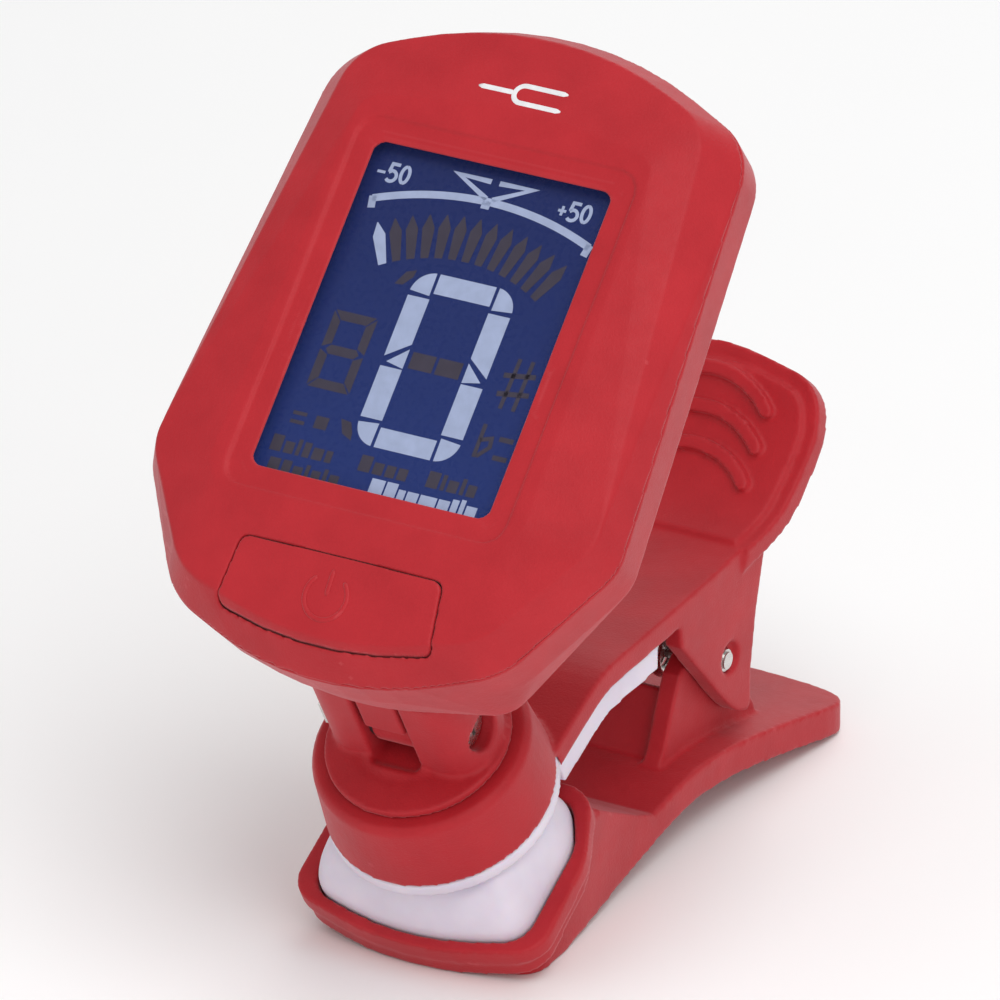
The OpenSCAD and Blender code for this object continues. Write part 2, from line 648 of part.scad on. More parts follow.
module battery_contact_negative() color(steel) face_frame() {
    cell_front = cell_back + cell_t;
    translate([-3, cell_v - 6, board_back - 0.25]) cube([6, 3, 0.25]);
    profile(-1.5, 1.5, [[cell_v - 3.6, board_back], [cell_v - 3.2, board_back], [cell_v + 2.6, cell_front + 0.27],
        [cell_v + 4, cell_front + 0.27], [cell_v + 4, cell_front + 0.02], [cell_v + 2.2, cell_front + 0.02],
        [cell_v - 3.6, board_back - 0.25]]);
}

module vibration_sensor() color([0.85, 0.72, 0.4]) face_frame() translate([0, -15.4, back_b + wall + 0.03]) {
    cylinder(h = 0.2, r = 4.6);
    cylinder(h = 0.35, r = 3);
}

module sensor_wires() color([0.15, 0.15, 0.16]) face_frame()
    for (x = [0.6, 2.6]) translate([x, -14.2, back_b + wall + 0.42]) cylinder(h = board_back - back_b - wall - 0.45, r = 0.35);

module battery_door() color(shell_red) face_frame() difference() {
    intersection() {
        back_body(0);
        union() {
            translate([-door_w / 2, door_bottom, back_b - 1]) cube([door_w, 60, door_t + 1]);
            translate([-door_w / 2 - lip_w, door_bottom, back_b + door_t / 2]) cube([door_w + 2 * lip_w, 60, door_t / 2]);
        }
    }
    // Finger grooves
    for (i = [0:3]) translate([-5, door_bottom + 3 + i * 1.4, back_b - 0.6]) cube([10, 0.6, 1]);
}

lower_arm();
lower_pad();
hinge_pin();
torsion_spring();
upper_arm();
upper_pad();
swivel_turret();
swivel_screw();
swivel_washer();
tilt_screw();
tilt_nut();
friction_washers();
front_shell();
back_shell();
shell_screws();
display_lens();
lcd_panel();
backlight_panel();
lcd_connector();
circuit_board();
controller_chip();
board_components();
tact_switch();
switch_plunger();
power_button();
battery_contact_positive();
battery_contact_negative();
coin_cell();
vibration_sensor();
sensor_wires();
battery_door();
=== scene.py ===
import json
import math

import bmesh
import bpy
from mathutils import Matrix, Vector
from mathutils.bvhtree import BVHTree


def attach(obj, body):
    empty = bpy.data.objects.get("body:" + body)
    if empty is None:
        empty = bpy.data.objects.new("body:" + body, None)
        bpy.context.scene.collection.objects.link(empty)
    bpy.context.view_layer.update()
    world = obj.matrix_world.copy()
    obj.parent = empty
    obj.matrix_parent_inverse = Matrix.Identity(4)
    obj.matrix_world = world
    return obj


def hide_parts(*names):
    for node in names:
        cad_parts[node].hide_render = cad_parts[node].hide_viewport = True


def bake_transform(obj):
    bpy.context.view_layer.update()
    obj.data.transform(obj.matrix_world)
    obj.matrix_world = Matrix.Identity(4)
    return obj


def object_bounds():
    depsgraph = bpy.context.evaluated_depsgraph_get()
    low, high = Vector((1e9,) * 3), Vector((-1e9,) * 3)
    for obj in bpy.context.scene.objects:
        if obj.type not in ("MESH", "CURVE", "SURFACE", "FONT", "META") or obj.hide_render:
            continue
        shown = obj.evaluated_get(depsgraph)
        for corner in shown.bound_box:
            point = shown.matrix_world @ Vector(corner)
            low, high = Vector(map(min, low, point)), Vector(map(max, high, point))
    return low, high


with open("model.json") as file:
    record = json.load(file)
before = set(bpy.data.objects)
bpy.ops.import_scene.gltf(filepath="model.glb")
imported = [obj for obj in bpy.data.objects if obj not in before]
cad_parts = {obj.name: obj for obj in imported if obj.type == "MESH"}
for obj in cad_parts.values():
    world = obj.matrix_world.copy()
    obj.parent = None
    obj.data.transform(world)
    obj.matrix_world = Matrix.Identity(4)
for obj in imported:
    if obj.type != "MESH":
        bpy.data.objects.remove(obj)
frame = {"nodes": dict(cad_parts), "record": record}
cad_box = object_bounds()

MM = 0.001
BODIES = frame["record"]["behaviour"]["bodies"]
BODY_OF = {node: body for body, nodes in BODIES.items() for node in nodes}
JOINTS = {j["name"]: j for j in frame["record"]["behaviour"]["joints"]}

# ---------------------------------------------------------------- frames of the object

# The face of the head: v runs up it, n out of it; distances in millimetres from the tilt axis
HEAD_PITCH = math.radians(45.3)
PIN = Vector(JOINTS["jaw_hinge"]["pos_m"]) / MM
TILT = Vector(JOINTS["head_tilt"]["pos_m"]) / MM
FACE_V = Vector((0, math.cos(HEAD_PITCH), math.sin(HEAD_PITCH)))
FACE_N = Vector((0, -math.sin(HEAD_PITCH), math.cos(HEAD_PITCH)))
WINDOW_A = 24.0
FACE_B = 18.7
LENS_B = FACE_B - 0.45
LCD_B = LENS_B - 0.95
LCD_REACH = 14


def on_face(u, v, b):
    """A point in millimetres: u across and v up from the window centre, b along the face normal."""
    return TILT + Vector((u, 0, 0)) + FACE_V * (WINDOW_A + v) + FACE_N * b


# ---------------------------------------------------------------- mesh helpers

def add_object(name, mesh, body, material, smooth=True):
    """Puts a mesh in the scene and makes it move with a body."""
    mesh.materials.clear()
    mesh.materials.append(material)
    if smooth:
        mesh.polygons.foreach_set("use_smooth", [True] * len(mesh.polygons))
    obj = bpy.data.objects.new(name, mesh)
    bpy.context.scene.collection.objects.link(obj)
    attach(obj, body)
    return obj


WELD = 2e-6


def node_copy(node):
    """Copy of a CAD node's mesh in millimetres, with the seams between its faces welded."""
    bm = bmesh.new()
    bm.from_mesh(frame["nodes"][node].data)
    bmesh.ops.remove_doubles(bm, verts=bm.verts, dist=WELD)
    bmesh.ops.scale(bm, vec=(1 / MM, 1 / MM, 1 / MM), verts=bm.verts)
    mesh = bpy.data.meshes.new(node + "_mm")
    bm.to_mesh(mesh)
    bm.free()
    return mesh


def baked(mesh, modifiers):
    """The mesh after a list of (type, settings) modifiers."""
    work = bpy.data.objects.new("work", mesh)
    bpy.context.scene.collection.objects.link(work)
    for kind, settings in modifiers:
        m = work.modifiers.new(kind.lower(), kind)
        for key, value in settings.items():
            setattr(m, key, value)
    bpy.context.view_layer.update()
    result = bpy.data.meshes.new_from_object(work.evaluated_get(bpy.context.evaluated_depsgraph_get()))
    bpy.data.objects.remove(work)
    return result


def moulded(node, material, voxel=0.2, passes=4, swell=0.0):
    """Stands in for a CAD node: the same solid with the soft edges of a moulded part.

    The voxel size and the swell are in millimetres; more smoothing passes give rounder edges.
    """
    mesh = baked(node_copy(node), [
        ("REMESH", {"mode": "VOXEL", "voxel_size": voxel, "adaptivity": 0.0}),
        ("SMOOTH", {"factor": 0.5, "iterations": passes}),
        ("DISPLACE", {"strength": swell, "mid_level": 0.0})])
    mesh.transform(Matrix.Scale(MM, 4))
    obj = add_object(node + "_moulded", mesh, BODY_OF[node], material)
    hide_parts(node)
    return obj


# ---------------------------------------------------------------- materials

class Shader:
    """Small helper that builds a node material."""

    def __init__(self, name):
        self.mat = bpy.data.materials.new(name)
        self.mat.use_nodes = True
        self.tree = self.mat.node_tree
        self.nodes = self.tree.nodes
        self.bsdf = self.nodes["Principled BSDF"]
        self.coord = self.nodes.new("ShaderNodeTexCoord")

    def link(self, a, b):
        self.tree.links.new(a, b)

    def noise(self, scale, detail=3.0, rough=0.55):
        """Noise with its scale in cycles per metre."""
        n = self.nodes.new("ShaderNodeTexNoise")
        n.inputs["Scale"].default_value = scale
        n.inputs["Detail"].default_value = detail
        n.inputs["Roughness"].default_value = rough
        self.link(self.coord.outputs["Object"], n.inputs["Vector"])
        return n.outputs["Fac"]

    def ramp(self, value, low, high, at=(0.3, 0.7)):
        """Colour that runs from low to high."""
        r = self.nodes.new("ShaderNodeValToRGB")
        r.color_ramp.elements[0].position = at[0]
        r.color_ramp.elements[1].position = at[1]
        r.color_ramp.elements[0].color = (*low, 1)
        r.color_ramp.elements[1].color = (*high, 1)
        self.link(value, r.inputs["Fac"])
        return r.outputs["Color"]

    def spread(self, value, low, high):
        """A value from 0..1 carried to low..high."""
        m = self.nodes.new("ShaderNodeMapRange")
        m.inputs["To Min"].default_value = low
        m.inputs["To Max"].default_value = high
        self.link(value, m.inputs["Value"])
        return m.outputs["Result"]

    def bump(self, value, distance, strength, after=None):
        """Bump of a given height in metres, on top of another one if given."""
        b = self.nodes.new("ShaderNodeBump")
        b.inputs["Distance"].default_value = distance
        b.inputs["Strength"].default_value = strength
        self.link(value, b.inputs["Height"])
        if after is not None:
            self.link(after, b.inputs["Normal"])
        return b.outputs["Normal"]

    def mix(self, fac, a, b):
        """Colour a where the factor is 0, colour b where it is 1; each a socket or a plain colour."""
        m = self.nodes.new("ShaderNodeMix")
        m.data_type = "RGBA"
        self.link(fac, m.inputs["Factor"])
        for socket, value in ((m.inputs[6], a), (m.inputs[7], b)):
            if isinstance(value, tuple):
                socket.default_value = (*value, 1)
            else:
                self.link(value, socket)
        return m.outputs[2]

    def set(self, **values):
        """Plain values for inputs of the main shader, with _ for a space in their names."""
        for key, value in values.items():
            self.bsdf.inputs[key.replace("_", " ")].default_value = value


def red_plastic():
    """Spark-textured red ABS: fine grain, with a painted highlight in a lighter, pinker red on convex
    edges.
    """
    s = Shader("red_abs")
    tone = s.ramp(s.noise(220, 4), (0.40, 0.010, 0.017), (0.46, 0.014, 0.022))
    # Painted highlight: convex edges, found by pointiness, are mixed towards a lighter, pinker red.
    geo = s.nodes.new("ShaderNodeNewGeometry")
    edge_highlight_range = s.nodes.new("ShaderNodeMapRange")
    edge_highlight_range.inputs["From Min"].default_value = 0.53
    edge_highlight_range.inputs["From Max"].default_value = 0.62
    s.link(geo.outputs["Pointiness"], edge_highlight_range.inputs["Value"])
    painted_edge_highlight = s.spread(edge_highlight_range.outputs["Result"], 0.0, 0.22)
    s.link(s.mix(painted_edge_highlight, tone, (0.60, 0.10, 0.11)), s.bsdf.inputs["Base Color"])
    s.link(s.spread(s.noise(900, 3), 0.44, 0.62), s.bsdf.inputs["Roughness"])
    coarse = s.bump(s.noise(5200, 3, 0.6), 0.00005, 0.55)
    fine = s.bump(s.noise(11000, 2, 0.6), 0.00002, 0.5, coarse)
    s.link(fine, s.bsdf.inputs["Normal"])
    s.set(Sheen_Weight=0.22, Sheen_Roughness=0.4, Specular_IOR_Level=0.28)
    s.bsdf.inputs["Sheen Tint"].default_value = (1, 0.8, 0.84, 1)
    return s.mat


def silicone():
    """Pale satin silicone with a faint violet cast."""
    s = Shader("pad_silicone")
    s.link(s.ramp(s.noise(160, 3), (0.66, 0.60, 0.70), (0.76, 0.70, 0.79)), s.bsdf.inputs["Base Color"])
    s.link(s.spread(s.noise(700, 2), 0.42, 0.6), s.bsdf.inputs["Roughness"])
    s.link(s.bump(s.noise(2600, 3), 0.00001, 0.5), s.bsdf.inputs["Normal"])
    s.set(Subsurface_Weight=0.25, Subsurface_Scale=0.0015)
    return s.mat


METAL_GRAIN = 3000


def metal(name, colour, rough):
    """Plated steel or brass with fine scratches and dull patches."""
    s = Shader(name)
    dark = tuple(c * 0.8 for c in colour)
    s.link(s.ramp(s.noise(1200, 4), dark, colour), s.bsdf.inputs["Base Color"])
    s.link(s.spread(s.noise(METAL_GRAIN, 3), rough * 0.7, rough * 1.4), s.bsdf.inputs["Roughness"])
    s.link(s.bump(s.noise(METAL_GRAIN * 2, 2), 0.000006, 0.4), s.bsdf.inputs["Normal"])
    s.set(Metallic=1.0)
    return s.mat


def plain(name, dark, light, rough, grain=1500, depth=0.00001):
    """Inner plastics, rubber and board laminate, with grain and colour variation."""
    s = Shader(name)
    s.link(s.ramp(s.noise(grain * 0.3, 4), dark, light), s.bsdf.inputs["Base Color"])
    s.link(s.spread(s.noise(grain, 3), rough * 0.8, min(rough * 1.2, 1)), s.bsdf.inputs["Roughness"])
    s.link(s.bump(s.noise(grain * 2, 2), depth, 0.5), s.bsdf.inputs["Normal"])
    return s.mat


def display_blue():
    """Backlit liquid crystal: mottled deep blue, a little brighter towards the lower edge."""
    s = Shader("lcd_blue")
    split = s.nodes.new("ShaderNodeSeparateXYZ")
    s.link(s.coord.outputs["Object"], split.inputs["Vector"])
    glow = s.nodes.new("ShaderNodeMapRange")
    glow.inputs["From Min"].default_value = on_face(0, -LCD_REACH, LCD_B).z * MM
    glow.inputs["From Max"].default_value = on_face(0, LCD_REACH, LCD_B).z * MM
    s.link(split.outputs["Z"], glow.inputs["Value"])
    blue = s.ramp(glow.outputs["Result"], (0.022, 0.040, 0.150), (0.018, 0.027, 0.100), (0.0, 1.0))
    mottled = s.mix(s.spread(s.noise(400, 3), 0.0, 0.2), blue, (0.010, 0.018, 0.08))
    s.link(mottled, s.bsdf.inputs["Base Color"])
    s.link(mottled, s.bsdf.inputs["Emission Color"])
    s.link(s.spread(s.noise(2000, 2), 0.22, 0.34), s.bsdf.inputs["Roughness"])
    s.set(Emission_Strength=0.25, Specular_IOR_Level=0.15)
    return s.mat


def glowing(name, colour, strength, rough=0.4):
    """Lit or ghost segments, with slight unevenness."""
    s = Shader(name)
    dim = tuple(c * 0.86 for c in colour)
    shade = s.ramp(s.noise(900, 3), dim, colour)
    s.link(shade, s.bsdf.inputs["Base Color"])
    s.link(shade, s.bsdf.inputs["Emission Color"])
    s.link(s.spread(s.noise(2500, 2), rough * 0.8, rough * 1.2), s.bsdf.inputs["Roughness"])
    s.set(Emission_Strength=strength, Specular_IOR_Level=0.15)
    return s.mat


def clear_lens():
    """Thin clear window: see-through, with a soft reflection."""
    s = Shader("lens_clear")
    out = s.nodes["Material Output"]
    see = s.nodes.new("ShaderNodeBsdfTransparent")
    see.inputs["Color"].default_value = (0.93, 0.94, 0.98, 1)
    gloss = s.nodes.new("ShaderNodeBsdfGlossy")
    s.link(s.spread(s.noise(900, 3), 0.06, 0.16), gloss.inputs["Roughness"])
    rim = s.nodes.new("ShaderNodeFresnel")
    rim.inputs["IOR"].default_value = 1.12
    blend = s.nodes.new("ShaderNodeMixShader")
    s.link(rim.outputs["Fac"], blend.inputs["Fac"])
    s.link(see.outputs["BSDF"], blend.inputs[1])
    s.link(gloss.outputs["BSDF"], blend.inputs[2])
    s.link(blend.outputs["Shader"], out.inputs["Surface"])
    return s.mat


RED = red_plastic()
PAD = silicone()
STEEL = metal("nickel_steel", (0.74, 0.73, 0.71), 0.26)
CELL = metal("cell_steel", (0.8, 0.8, 0.8), 0.2)
BRASS = metal("sensor_brass", (0.8, 0.62, 0.3), 0.3)
TIN = metal("tinned_parts", (0.62, 0.6, 0.55), 0.4)
BLACK = plain("dark_plastic", (0.012, 0.012, 0.014), (0.03, 0.03, 0.034), 0.5)
RUBBER = plain("dark_rubber", (0.02, 0.02, 0.022), (0.045, 0.045, 0.05), 0.7)
MILKY = plain("light_guide", (0.74, 0.77, 0.82), (0.86, 0.88, 0.92), 0.35)
BOARD = plain("board_laminate", (0.01, 0.09, 0.035), (0.02, 0.15, 0.06), 0.4)
LCD_BLUE = display_blue()
LIT = glowing("segment_lit", (0.42, 0.47, 0.58), 0.25)
GHOST = glowing("segment_ghost", (0.075, 0.062, 0.075), 0.10)
PRINT = glowing("white_print", (0.8, 0.8, 0.82), 0.0, 0.5)
LENS = clear_lens()

NODES_OF_MATERIAL = (
    (STEEL, ("hinge_pin", "swivel_screw", "swivel_washer", "tilt_screw", "tilt_nut", "shell_screws",
             "battery_contact_positive", "battery_contact_negative")),
    (BLACK, ("friction_washers", "controller_chip", "tact_switch")),
    (RUBBER, ("lcd_connector", "sensor_wires")),
    (MILKY, ("backlight_panel", "switch_plunger")),
    (LENS, ("display_lens",)),
    (LCD_BLUE, ("lcd_panel",)),
    (BOARD, ("circuit_board",)),
    (TIN, ("board_components",)),
    (CELL, ("coin_cell",)),
    (BRASS, ("vibration_sensor",)),
)
for material, nodes in NODES_OF_MATERIAL:
    for node in nodes:
        mesh = frame["nodes"][node].data
        mesh.materials.clear()
        mesh.materials.append(material)

# ---------------------------------------------------------------- moulded parts

for node in ("lower_arm", "upper_arm", "swivel_turret"):
    moulded(node, RED)
for node in ("front_shell", "back_shell", "battery_door"):
    moulded(node, RED, 0.15, 2)
moulded("power_button", RED, 0.12, 2, 0.04)
moulded("lower_pad", PAD, 0.25, 20)
moulded("upper_pad", PAD, 0.2, 6)

# ---------------------------------------------------------------- flat shapes on the face

def arc_points(cu, cv, r, a0, a1, steps):
    """Points on a circle about (cu, cv) from angle a0 to a1, in degrees."""
    angles = [math.radians(a0 + (a1 - a0) * i / steps) for i in range(steps + 1)]
    return [(cu + r * math.cos(a), cv + r * math.sin(a)) for a in angles]


MITRE_LIMIT = 0.35


def ribbon(path, width):
    """Outline of a stroke of constant width along a path, with mitred joints."""
    points = [Vector(p) for p in path]
    left, right = [], []
    for i, p in enumerate(points):
        ahead = points[min(i + 1, len(points) - 1)] - p
        behind = p - points[max(i - 1, 0)]
        ahead = (ahead if ahead.length > 0 else behind).normalized()
        behind = (behind if behind.length > 0 else ahead).normalized()
        along = (ahead + behind).normalized()
        normal = Vector((-along.y, along.x))
        reach = width / 2 / max(normal.dot(Vector((-ahead.y, ahead.x))), MITRE_LIMIT)
        left.append(p + normal * reach)
        right.append(p - normal * reach)
    return [tuple(q) for q in left + right[::-1]]


def rect(u0, v0, u1, v1):
    """Outline of an upright rectangle between two opposite corners."""
    return [(u0, v0), (u1, v0), (u1, v1), (u0, v1)]


def plates(name, outlines, material, height):
    """Thin closed plates; height(u, v) gives the depths of their under and upper side."""
    bm = bmesh.new()
    for outline in outlines:
        low = [bm.verts.new(on_face(u, v, height(u, v)[0]) * MM) for u, v in outline]
        high = [bm.verts.new(on_face(u, v, height(u, v)[1]) * MM) for u, v in outline]
        count = len(outline)
        bm.faces.new(low[::-1])
        bm.faces.new(high)
        for k in range(count):
            bm.faces.new((low[k], low[(k + 1) % count], high[(k + 1) % count], high[k]))
    bmesh.ops.recalc_face_normals(bm, faces=bm.faces)
    bmesh.ops.triangulate(bm, faces=[f for f in bm.faces if len(f.verts) > 4])
    mesh = bpy.data.meshes.new(name)
    bm.to_mesh(mesh)
    bm.free()
    return add_object(name, mesh, "head", material, smooth=False)


# ---------------------------------------------------------------- display segments

# The large zero: centre, half width, ends, stroke widths, gap between segments and waist
ZERO_U = 0.9
ZERO_HALF_W = 4.38
ZERO_TOP = 4.6
ZERO_BOTTOM = -9.65
STEM = 1.85
BAR = 1.6
CUT = 0.13
WAIST = -2.5
# The fan of pointers: its centre, count and half angle in degrees
FAN_V = -7.8
FAN_COUNT = 13
FAN_ANGLE = 28.0


def big_zero():
    """Multi-segment zero: rounded corners, straight runs and arrow-shaped cuts at the waist."""
    shapes = []
    for side in (-1, 1):
        outer = ZERO_U + side * ZERO_HALF_W
        inner = outer - side * STEM
        for end, way in ((ZERO_TOP, -1), (ZERO_BOTTOM, 1)):
            centre_v = end + way * STEM
            corner = [(inner + side * STEM * math.cos(a), centre_v - way * STEM * math.sin(a))
                      for a in (math.radians(5 + 80 * i / 10) for i in range(11))]
            shapes.append(corner + [(inner + side * CUT, centre_v)])
        shapes.append([(outer, ZERO_TOP - STEM - 2 * CUT), (inner, ZERO_TOP - STEM - 2 * CUT),
                       (inner, WAIST + 1.25), (outer, WAIST - 0.05)])
        shapes.append([(inner, WAIST + 0.85), (outer - side * 0.35, WAIST - 0.45),
                       (inner, WAIST - 0.75)])
        shapes.append(rect(min(inner, outer), ZERO_BOTTOM + STEM + 2 * CUT,
                           max(inner, outer), WAIST - 0.85))
    reach = ZERO_HALF_W - STEM - CUT
    shapes.append(rect(ZERO_U - reach, ZERO_TOP - BAR, ZERO_U + reach, ZERO_TOP))
    shapes.append(rect(ZERO_U - reach, ZERO_BOTTOM, ZERO_U + reach, ZERO_BOTTOM + BAR))
    return shapes


def pointer(index):
    """One pointed bar of the fan below the scale."""
    angle = math.radians(90 + FAN_ANGLE - 2 * FAN_ANGLE * index / (FAN_COUNT - 1))
    along = Vector((math.cos(angle), math.sin(angle)))
    across = Vector((-along.y, along.x))
    foot = Vector((0, FAN_V))
    profile = ((13.75, 0.32), (16.2, 0.5), (17.3, 0.03))
    left = [foot + along * r + across * w for r, w in profile]
    right = [foot + along * r - across * w for r, w in profile]
    return [tuple(p) for p in left + right[::-1]]


def seven_segments(u0, v0, w, h, t):
    """Seven-segment digit in the box from (u0, v0) up to (u0 + w, v0 + h)."""
    u1, v1, vm = u0 + w, v0 + h, v0 + h / 2
    g = 0.1
    bars = {
        "a": [(u0 + g, v1), (u1 - g, v1), (u1 - t, v1 - t), (u0 + t, v1 - t)],
        "d": [(u0 + g, v0), (u1 - g, v0), (u1 - t, v0 + t), (u0 + t, v0 + t)],
        "b": [(u1, v1 - g), (u1, vm + g), (u1 - t, vm + g + t / 2), (u1 - t, v1 - t - g)],
        "f": [(u0, v1 - g), (u0, vm + g), (u0 + t, vm + g + t / 2), (u0 + t, v1 - t - g)],
        "c": [(u1, v0 + g), (u1, vm - g), (u1 - t, vm - g - t / 2), (u1 - t, v0 + t + g)],
        "e": [(u0, v0 + g), (u0, vm - g), (u0 + t, vm - g - t / 2), (u0 + t, v0 + t + g)],
        "g": [(u0 + t * 0.6, vm), (u0 + t, vm + t / 2), (u1 - t, vm + t / 2), (u1 - t * 0.6, vm),
              (u1 - t, vm - t / 2), (u0 + t, vm - t / 2)],
    }
    return list(bars.values())


# Width and stroke of a dial numeral, as parts of its height
DIGIT_W = 0.56
STROKE = 0.17


def dial_five(u, v, size):
    """A bold numeral five of a given height, its lower left corner at (u, v)."""
    w = size * DIGIT_W
    bowl = arc_points(u + w * 0.42, v + size * 0.31, size * 0.27, 100, -140, 12)
    path = [(u + w * 0.95, v + size * 0.92), (u + w * 0.22, v + size * 0.92),
            (u + w * 0.12, v + size * 0.5)]
    stroke = size * STROKE
    return [ribbon(path, stroke), ribbon([(u + w * 0.1, v + size * 0.47)] + bowl, stroke)]


def dial_nought(u, v, size):
    """A bold numeral nought, as two half rings."""
    w = size * DIGIT_W
    halves = []
    for a0, a1 in ((90, 270), (-90, 90)):
        path = [(u + w / 2 + 0.37 * w * math.cos(a), v + size / 2 + 0.41 * size * math.sin(a))
                for a in (math.radians(a0 + (a1 - a0) * i / 14) for i in range(15))]
        halves.append(ribbon(path, size * STROKE))
    return halves


def dial_label(u, v, size, plus):
    """The numbers at the two ends of the scale: minus or plus fifty."""
    mid = v + size * 0.42
    half = 0.11
    shapes = [rect(u, mid - half, u + size * 0.42, mid + half)]
    if plus:
        stem = u + size * 0.21
        shapes.append(rect(stem - half, mid + 0.12, stem + half, mid + size * 0.24))
        shapes.append(rect(stem - half, mid - size * 0.24, stem + half, mid - 0.12))
    shapes += dial_five(u + size * 0.54, v, size)
    shapes += dial_nought(u + size * 1.18, v, size)
    return shapes


def scale_marks():
    """Curved scale with end ticks, a centre tick and two open pointers above it."""
    span = 21.0
    line = arc_points(0, -15.05, 26.0, 90 + span, 90 - span, 40)
    shapes = [ribbon(line, 0.6)]
    for side in (-1, 1):
        foot = line[0] if side < 0 else line[-1]
        shapes.append(ribbon([(foot[0], foot[1] + 0.2), (foot[0] - side * 0.2, foot[1] - 0.75)], 0.6))
        shapes.append(ribbon([(side * 0.35, 12.55), (side * 3.15, 12.6), (side * 0.25, 11.15)], 0.42))
    shapes.append(ribbon([(-0.1, 11.0), (-0.1, 10.35)], 0.7))
    return shapes


LETTER_GAP = 0.22


def word_blocks(u, v, widths, heights, gap=LETTER_GAP):
    """A row of plain blocks that stands where a display shows a mode name."""
    shapes = []
    for w, h in zip(widths, heights):
        shapes.append(rect(u, v, u + w, v + h))
        u += w + gap
    return shapes


def ghost_marks():
    """Segments that are off but faintly visible."""
    shapes = [pointer(i) for i in range(1, FAN_COUNT)]
    shapes += seven_segments(-8.75, -6.2, 3.7, 6.3, 0.75)
    shapes += [rect(-1.25, -3.1, 0.75, -1.75), rect(1.0, -3.1, 3.05, -1.75)]
    shapes += [[(-4.9, 3.1), (-4.2, 3.15), (-3.6, 3.9), (-3.5, 4.5), (-4.3, 4.2)]]
    shapes += [[(-4.9, -8.1), (-4.0, -8.2), (-3.6, -9.0), (-3.5, -9.6), (-4.4, -9.2)]]
    # Sharp sign and flat sign to the right of the note
    for u in (7.2, 8.3):
        shapes.append(ribbon([(u, -4.5), (u + 0.15, -0.4)], 0.34))
    for v in (-1.9, -3.4):
        shapes.append(ribbon([(6.5, v), (9.1, v + 0.35)], 0.42))
    shapes.append(ribbon([(6.6, -5.9), (6.6, -8.6)], 0.34))
    shapes.append(ribbon([(6.6, -7.2), (7.5, -6.9), (7.6, -7.6), (6.8, -8.5)], 0.34))
    shapes += [rect(8.1, -7.0, 9.3, -6.6), rect(8.1, -8.5, 9.3, -8.1)]
    # Small marks and mode names in the lower left
    shapes += [rect(-8.9, -9.3, -7.7, -9.0), rect(-8.9, -8.6, -7.7, -8.3), rect(-6.9, -9.3, -5.8, -8.3)]
    row = -11.7
    shapes += word_blocks(-9.7, row, (0.95, 0.8, 0.35, 0.6, 0.9, 0.55), (1.3, 0.95, 1.3, 1.2, 0.95, 0.95))
    shapes += word_blocks(-2.1, row, (1.0, 0.85, 0.8, 0.8), (1.3, 0.95, 0.95, 0.95))
    shapes += word_blocks(3.7, row, (1.0, 0.35, 0.85, 0.35, 0.75), (1.3, 1.25, 0.95, 1.3, 0.95))
    shapes += word_blocks(-9.3, -13.3, (0.95, 0.75, 0.8, 0.35, 0.75, 0.35, 0.8),
                          (1.1, 1.1, 0.8, 1.1, 0.8, 1.1, 0.8))
    return shapes


DIAL_SIZE = 1.6


def lit_marks():
    """Segments that are on."""
    shapes = big_zero() + scale_marks() + [pointer(0)]
    shapes += dial_label(-9.75, 10.75, DIAL_SIZE, False) + dial_label(5.75, 10.9, DIAL_SIZE, True)
    widths = (1.15, 0.95, 0.6, 0.95, 1.4, 0.95, 0.55, 0.38, 0.9)
    heights = (1.35, 1.35, 0.98, 0.98, 0.98, 0.98, 1.22, 1.35, 0.98)
    shapes += word_blocks(-0.6, -13.35, widths, heights, 0.16)
    return shapes


plates("segments_on", lit_marks(), LIT, lambda u, v: (LCD_B + 0.002, LCD_B + 0.022))
plates("segments_off", ghost_marks(), GHOST, lambda u, v: (LCD_B + 0.002, LCD_B + 0.014))

# ---------------------------------------------------------------- marks on the shell


def skin_of(name):
    """Depth of the moulded surface of a piece below a point of the face, in millimetres."""
    obj = bpy.data.objects[name]
    tree = BVHTree.FromPolygons([v.co / MM for v in obj.data.vertices],
                                [p.vertices for p in obj.data.polygons])

    def depth(u, v):
        hit = tree.ray_cast(on_face(u, v, FACE_B + 5), -FACE_N)[0]
        return (hit - TILT).dot(FACE_N)
    return depth


BEAD_ROWS = 6


def raised(name, path, width, height, surface):
    """A rounded bead of moulded plastic or paint laid along a path on a surface."""
    rows = BEAD_ROWS
    bm = bmesh.new()
    points = [Vector(p) for p in path]
    rings = []
    for i, p in enumerate(points):
        along = (points[min(i + 1, len(points) - 1)] - points[max(i - 1, 0)]).normalized()
        across = Vector((-along.y, along.x))
        slim = 0.45 if i in (0, len(points) - 1) else 1.0
        ring = []
        for k in range(rows + 1):
            t = -1 + 2 * k / rows
            q = p + across * (t * width / 2 * slim)
            lift = height * math.sqrt(max(1 - t * t, 0)) * slim
            ring.append(bm.verts.new(on_face(q.x, q.y, surface(q.x, q.y) - 0.02 + lift) * MM))
        for k in (rows - 1, rows // 2, 1):
            t = -1 + 2 * k / rows
            q = p + across * (t * width / 2 * slim)
            ring.append(bm.verts.new(on_face(q.x, q.y, surface(q.x, q.y) - 0.12) * MM))
        rings.append(ring)
    for r0, r1 in zip(rings, rings[1:]):
        for k in range(len(r0)):
            bm.faces.new((r0[k], r0[(k + 1) % len(r0)], r1[(k + 1) % len(r0)], r1[k]))
    bm.faces.new(rings[0][::-1])
    bm.faces.new(rings[-1])
    bmesh.ops.recalc_face_normals(bm, faces=bm.faces)
    mesh = bpy.data.meshes.new(name)
    bm.to_mesh(mesh)
    bm.free()
    return mesh


def straight(u, v, du, dv, count):
    """Evenly spaced points from (u, v), with a step of (du, dv)."""
    return [(u + du * i, v + dv * i) for i in range(count)]


